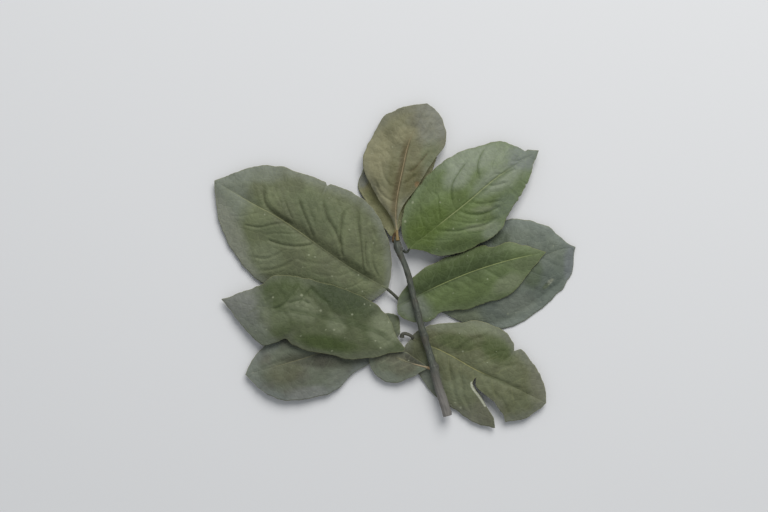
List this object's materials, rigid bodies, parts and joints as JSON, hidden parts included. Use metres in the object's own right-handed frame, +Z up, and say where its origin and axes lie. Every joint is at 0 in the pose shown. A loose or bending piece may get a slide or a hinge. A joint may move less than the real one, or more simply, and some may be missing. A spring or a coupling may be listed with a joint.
{
  "type": "bay leaf sprig",
  "caption": "Picked sprig of broad bay leaves on a short woody stem, lying flat, for dressing a kitchen table or a cooking scene.",
  "frame": {"origin": "centre of the bounding box in plan, at the height of the surface the sprig lies on", "axes": "+X along the sprig's widest spread, from the large leaf to the dark leaf; +Y towards the stem's tip; +Z up from the surface"},
  "size_m": [0.1804, 0.1617, 0.011],
  "materials": {
    "bark": "matte young bark, grey-green to brown",
    "olive_leaf": "satin olive-green leaf with pressed-in veins",
    "brown_leaf": "satin brown-olive ageing leaf",
    "green_leaf": "satin mid-green leaf",
    "dark_leaf": "satin grey-green leaf"
  },
  "bodies": {
    "root": {"stem": "bark", "leaf_left_large": "olive_leaf", "leaf_top_front": "brown_leaf", "leaf_top_back": "brown_leaf", "leaf_upper_right": "green_leaf", "leaf_mid_right": "green_leaf", "leaf_right_dark": "dark_leaf", "leaf_lower_left": "green_leaf", "leaf_bottom_left": "dark_leaf", "leaf_small": "dark_leaf", "leaf_torn": "olive_leaf"}
  },
  "joints": []
}
